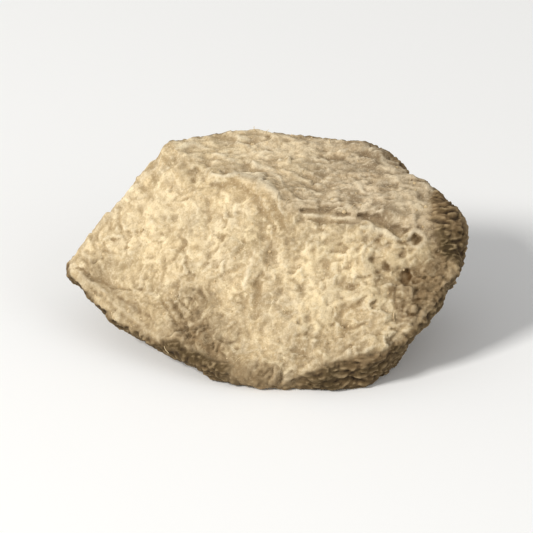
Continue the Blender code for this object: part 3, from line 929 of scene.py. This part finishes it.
def dried_root_material():
    material, tree, shader = new_material("dried_root")
    found = patterns(tree)
    tree.links.new(dried_root_colour(tree, found), shader.inputs["Base Color"])
    roughness = ranged(tree, found["medium"], 0.3, 0.7, 0.82, 0.95)
    tree.links.new(roughness, shader.inputs["Roughness"])
    shader.inputs["Specular IOR Level"].default_value = 0.25
    coarse = add(tree, "ShaderNodeBump", Strength=1.0, Distance=0.07 * MM, Height=found["fine"])
    gritty = add(tree, "ShaderNodeBump", Strength=1.0, Distance=0.04 * MM, Height=found["grit"],
                 Normal=coarse.outputs[0])
    tree.links.new(gritty.outputs[0], shader.inputs["Normal"])
    return material


dried_root = dried_root_material()
skin.materials.clear()
skin.materials.append(dried_root)
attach(root_piece, "root")
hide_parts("root_piece")
print("the finish has", len(dried_root.node_tree.nodes), "nodes")

# %% [markdown]
# ## Crumbs in the hollows
#
# Starchy meal rubs off a dry piece and lies in its hollows. A particle system would be lost in
# most exports, and placing crumbs by hand would take a thousand lines, so Geometry Nodes scatter a
# small grain over the skin: thickest where the mask says so, each one turned, sized and dented its
# own way. Places painted dark, painted shade among them, and pits get almost none, where pale
# grains would look like beads. The result is made a plain mesh.

# %% Helpers for Geometry Nodes
def new_tree(name, inputs):
    """A tree with a geometry in and out, and named inputs for its sizes."""
    tree = bpy.data.node_groups.new(name, "GeometryNodeTree")
    tree.interface.new_socket("Geometry", in_out="INPUT", socket_type="NodeSocketGeometry")
    tree.interface.new_socket("Geometry", in_out="OUTPUT", socket_type="NodeSocketGeometry")
    for label, kind in inputs.items():
        tree.interface.new_socket(label, in_out="INPUT", socket_type="NodeSocket" + kind)
    return tree, tree.nodes.new("NodeGroupInput").outputs, tree.nodes.new("NodeGroupOutput").inputs


def grown_on(source, tree, settings, name):
    """What the tree grows on a mesh with these settings, as a plain object."""
    holder = new_object(name, source.copy())
    modifier = holder.modifiers.new(name, "NODES")
    modifier.node_group = tree
    for socket in tree.interface.items_tree:
        if socket.name in settings:
            modifier[socket.identifier] = settings[socket.name]
    graph = bpy.context.evaluated_depsgraph_get()
    mesh = bpy.data.meshes.new_from_object(holder.evaluated_get(graph))
    mesh.name = name
    bpy.data.objects.remove(holder)
    print(name, "has", triangles(mesh), "triangles")
    return new_object(name, mesh)


def lucky(tree, low, high, seed, vector=False):
    """A random number, or vector, for each point."""
    node = add(tree, "FunctionNodeRandomValue", {"data_type": "FLOAT_VECTOR" if vector else "FLOAT"})
    first = 0 if vector else 2
    for number, value in ((first, low), (first + 1, high)):
        node.inputs[number].default_value = value
    node.inputs["Seed"].default_value = seed
    return node.outputs[0 if vector else 1]


def scaled(tree, vector, factor):
    node = add(tree, "ShaderNodeVectorMath", {"operation": "SCALE"}, _0=vector)
    tree.links.new(factor, node.inputs["Scale"])
    return node.outputs[0]


def spread_by(tree, given, name):
    """Points on the faces, as dense as a mask says, and their normals."""
    share = add(tree, "GeometryNodeInputNamedAttribute", {"data_type": "FLOAT"}, Name=name).outputs[0]
    return add(tree, "GeometryNodeDistributePointsOnFaces", Mesh=given["Geometry"],
               Density=times(tree, share, given["Count per square metre"]), Seed=given["Seed"])


def planted(tree, spread, lower, thing, turned, shape):
    """The thing on each point, moved a little along the normal, turned and sized, as real mesh."""
    lowered = add(tree, "GeometryNodeSetPosition", Geometry=spread.outputs["Points"], Offset=lower)
    placed = add(tree, "GeometryNodeInstanceOnPoints", Points=lowered.outputs[0], Instance=thing,
                 Rotation=turned, Scale=shape)
    return add(tree, "GeometryNodeRealizeInstances", Geometry=placed.outputs[0]).outputs[0]


def finished(tree, mesh, given, result):
    """The tree, once its mesh has its material and goes out."""
    painted = add(tree, "GeometryNodeSetMaterial", Geometry=mesh, Material=given["Finish"])
    tree.links.new(painted.outputs[0], result["Geometry"])
    return tree


# %% The tree for crumbs
def crumbs_tree():
    tree, given, result = new_tree("crumbs", {
        "Count per square metre": "Float", "Smallest": "Float", "Largest": "Float",
        "Sunk": "Float", "Dented": "Float", "Seed": "Int", "Finish": "Material",
    })
    spread = spread_by(tree, given, "crumbs")
    mostly_small = add(tree, "ShaderNodeMath", {"operation": "POWER"}, _0=lucky(tree, 0, 1, 5), _1=2.5)
    size = ranged(tree, mostly_small.outputs[0], 0, 1, given["Smallest"], given["Largest"])
    lower = scaled(tree, spread.outputs["Normal"], times(tree, size, given["Sunk"]))
    grain = add(tree, "GeometryNodeMeshIcoSphere", Radius=1.0, Subdivisions=1).outputs["Mesh"]
    shape = scaled(tree, lucky(tree, (0.5, 0.5, 0.5), (1.1, 1.1, 1.1), 6, vector=True), size)
    turned = lucky(tree, (0, 0, 0), (math.tau, math.tau, math.tau), 7, vector=True)
    real = planted(tree, spread, lower, grain, turned, shape)
    lumps = add(tree, "ShaderNodeTexNoise", Scale=1 / (0.22 * MM), Detail=1.0).outputs["Color"]
    centred = add(tree, "ShaderNodeVectorMath", {"operation": "SUBTRACT"}, _0=lumps)
    centred.inputs[1].default_value = (0.5, 0.5, 0.5)
    dent = scaled(tree, centred.outputs[0], given["Dented"])
    dented = add(tree, "GeometryNodeSetPosition", Geometry=real, Offset=dent)
    angular = add(tree, "GeometryNodeSetShadeSmooth", Geometry=dented.outputs[0], Shade_Smooth=False)
    return finished(tree, angular.outputs[0], given, result)


# %% [markdown]
# ## Frayed fibre ends
#
# At broken edges the bundles end in short stiff hairs. One tapered, bent strand is made from a
# curve, and Geometry Nodes plant it on the skin: its foot is sunk, it lies the way the bundles
# lie, and its tip lifts a little.

# %% The tree for fibre ends
def fibres_tree():
    tree, given, result = new_tree("fibre_ends", {
        "Count per square metre": "Float", "Shortest": "Float", "Longest": "Float",
        "Thickness": "Float", "Sunk": "Float", "Seed": "Int", "Finish": "Material",
    })
    spread = spread_by(tree, given, "frayed")
    arc = add(tree, "GeometryNodeCurveQuadraticBezier", Resolution=4, Start=(-0.5, 0, -0.02),
              Middle=(0.0, 0.16, 0.05), End=(0.5, 0.0, 0.06)).outputs[0]
    run = add(tree, "GeometryNodeSplineParameter").outputs["Factor"]
    radius = ranged(tree, run, 0, 1, 1.0, 0.25)
    taper = add(tree, "GeometryNodeSetCurveRadius", Curve=arc, Radius=radius)
    ring = add(tree, "GeometryNodeCurvePrimitiveCircle", Resolution=5, Radius=0.035).outputs[0]
    strand = add(tree, "GeometryNodeCurveToMesh", Curve=taper.outputs[0], Profile_Curve=ring)
    strand.inputs["Fill Caps"].default_value = True
    length = ranged(tree, lucky(tree, 0, 1, 8), 0, 1, given["Shortest"], given["Longest"])
    thick = times(tree, length, given["Thickness"])
    shape = add(tree, "ShaderNodeCombineXYZ", X=length, Y=thick, Z=thick).outputs[0]
    upright = add(tree, "FunctionNodeAlignRotationToVector", {"axis": "Z"},
                  Vector=spread.outputs["Normal"]).outputs[0]
    way = add(tree, "GeometryNodeInputNamedAttribute", {"data_type": "FLOAT_VECTOR"}, Name="lie")
    stray = lucky(tree, (-0.5, -0.5, -0.5), (0.5, 0.5, 0.5), 9, vector=True)
    aim = add(tree, "ShaderNodeVectorMath", {"operation": "ADD"}, _0=way.outputs[0], _1=stray)
    turned = add(tree, "FunctionNodeAlignRotationToVector", {"axis": "X", "pivot_axis": "Z"},
                 Rotation=upright, Vector=aim.outputs[0]).outputs[0]
    lower = scaled(tree, spread.outputs["Normal"], given["Sunk"])
    real = planted(tree, spread, lower, strand.outputs[0], turned, shape)
    return finished(tree, real, given, result)


# %% Their finish, and growing them
def meal_material(name, dark, light):
    """Pale meal, mottled at the scale of a crumb."""
    material, tree, shader = new_material(name)
    place = add(tree, "ShaderNodeTexCoord").outputs["Object"]
    mottle = ranged(tree, speckle(tree, place, 0.5, 3.0), 0.35, 0.65)
    tree.links.new(mixed(tree, mottle, paint(*dark), paint(*light)), shader.inputs["Base Color"])
    grit = speckle(tree, place, 0.08, 2.0)
    bump = add(tree, "ShaderNodeBump", Strength=0.7, Distance=0.015 * MM, Height=grit)
    tree.links.new(bump.outputs[0], shader.inputs["Normal"])
    shader.inputs["Roughness"].default_value = 0.92
    shader.inputs["Specular IOR Level"].default_value = 0.25
    return material


root_meal = meal_material("root_meal", (182, 158, 118), (218, 197, 158))
crumbs = grown_on(skin, crumbs_tree(), {
    "Count per square metre": 3.0e6, "Smallest": 0.05 * MM, "Largest": 0.24 * MM, "Sunk": -0.25,
    "Dented": 0.06 * MM, "Seed": 4, "Finish": root_meal,
}, "mealy_crumbs")
fibre_straw = meal_material("fibre_straw", (196, 170, 126), (232, 212, 172))
fibre_ends = grown_on(skin, fibres_tree(), {
    "Count per square metre": 0.5e6, "Shortest": 0.3 * MM, "Longest": 0.8 * MM, "Thickness": 1.1,
    "Sunk": -0.01 * MM, "Seed": 5, "Finish": fibre_straw,
}, "fibre_ends")
for grown in (crumbs, fibre_ends):
    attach(grown, "root")

# %% [markdown]
# ## Floor, light and camera
#
# The piece lies on a plain pale floor. One large lamp from the upper left and front gives the
# soft shadows, and a bright pale surrounding fills them. The camera looks down from thirty
# degrees with a long lens, which keeps the piece free of distortion.

# %% Floor
FLOOR_SIZE = 3.0
FLOOR_DROP = 0.02 * MM  # keeps the floor from flickering through the flat cut
floor_mesh = bpy.data.meshes.new("floor")
half = FLOOR_SIZE / 2
corners = ((-half, -half), (half, -half), (half, half), (-half, half))
floor_mesh.from_pydata([(x, y, -FLOOR_DROP) for x, y in corners], [], [(0, 1, 2, 3)])
floor = new_object("floor", floor_mesh)
floor_paint, _, floor_shader = new_material("pale_floor")
floor_shader.inputs["Base Color"].default_value = (0.93, 0.93, 0.92, 1.0)
floor_shader.inputs["Roughness"].default_value = 0.9
floor_mesh.materials.append(floor_paint)


# %% Lamps and surroundings
def soft_lamp(name, place, size, power, colour=(1, 1, 1)):
    """A square lamp that shines at the middle of the piece."""
    data = bpy.data.lights.new(name, "AREA")
    data.size, data.energy, data.color = size, power, colour
    lamp = new_object(name, data)
    lamp.location = place
    lamp.rotation_mode = "QUATERNION"
    lamp.rotation_quaternion = (Vector((0, 0, 0.007)) - lamp.location).to_track_quat("-Z", "Y")


soft_lamp("key_lamp", Vector((-0.34, -0.24, 0.34)), 0.12, 2.3, (1.0, 0.985, 0.96))
soft_lamp("fill_lamp", Vector((0.40, -0.30, 0.30)), 0.40, 0.5)
world = bpy.data.worlds.new("pale_room")
bpy.context.scene.world = world
world.use_nodes = True
world.node_tree.nodes["Background"].inputs["Color"].default_value = (1.0, 1.0, 1.0, 1.0)
world.node_tree.nodes["Background"].inputs["Strength"].default_value = 0.45
bpy.context.scene.view_settings.view_transform = "Standard"

# %% Camera
CAMERA_AWAY = 0.5
PICTURE_WIDTH = 0.045  # how much of the floor's width the picture takes in at the piece
cam_data = bpy.data.cameras.new("camera")
camera = new_object("camera", cam_data)
bpy.context.scene.camera = camera
cam_data.lens = cam_data.sensor_width * CAMERA_AWAY / PICTURE_WIDTH
look_at = Vector((0.0, 0.0, 0.0063))
camera.location = look_at + CAMERA_AWAY * Vector(to_viewer)
camera.rotation_mode = "QUATERNION"
camera.rotation_quaternion = Vector(-to_viewer).to_track_quat("-Z", "Y")
print(f"the lens is {cam_data.lens:.0f} mm long")
